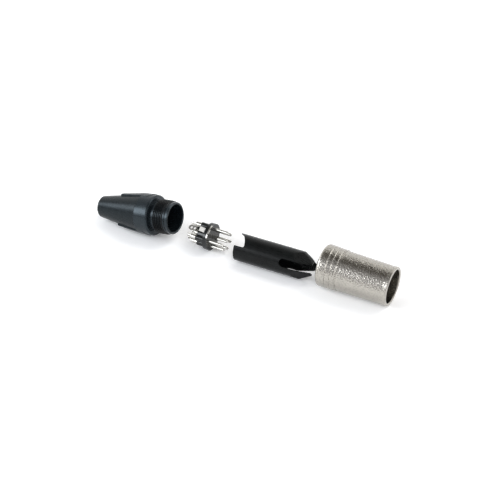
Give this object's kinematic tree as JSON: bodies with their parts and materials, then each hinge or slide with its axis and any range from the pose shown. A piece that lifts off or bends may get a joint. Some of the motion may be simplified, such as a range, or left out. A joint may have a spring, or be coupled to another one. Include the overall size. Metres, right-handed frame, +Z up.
{
  "type": "round locking xlr cable plug, taken apart",
  "caption": "Male round locking XLR cable plug taken apart in a row: metal shell, slotted clamping chuck, pin insert with solder cups, and threaded bushing with soft boot.",
  "frame": {"origin": "on the table under the middle of the row: centre of the overall box in X and Y, Z = 0 at the table", "axes": "+X along the row from the boot to the shell's mouth, +Z up, -Y to the viewer's side of the picture"},
  "size_m": [0.1616, 0.023, 0.0217],
  "materials": {
    "nickel_shell": "satin nickel plating on die-cast zinc",
    "chuck_plastic": "satin black",
    "insert_plastic": "satin black",
    "plated_contact": "bright silver plating",
    "bushing_plastic": "satin blue-black",
    "boot_rubber": "smooth matt blue-black"
  },
  "bodies": {
    "root": {"shell": "nickel_shell", "chuck": "chuck_plastic", "insert_body": "insert_plastic", "ground_contact": "plated_contact", "contact_1": "plated_contact", "contact_2": "plated_contact", "contact_3": "plated_contact", "contact_4": "plated_contact", "contact_5": "plated_contact", "contact_6": "plated_contact", "contact_7": "plated_contact", "threaded_bushing": "bushing_plastic", "soft_boot": "boot_rubber"}
  },
  "joints": []
}
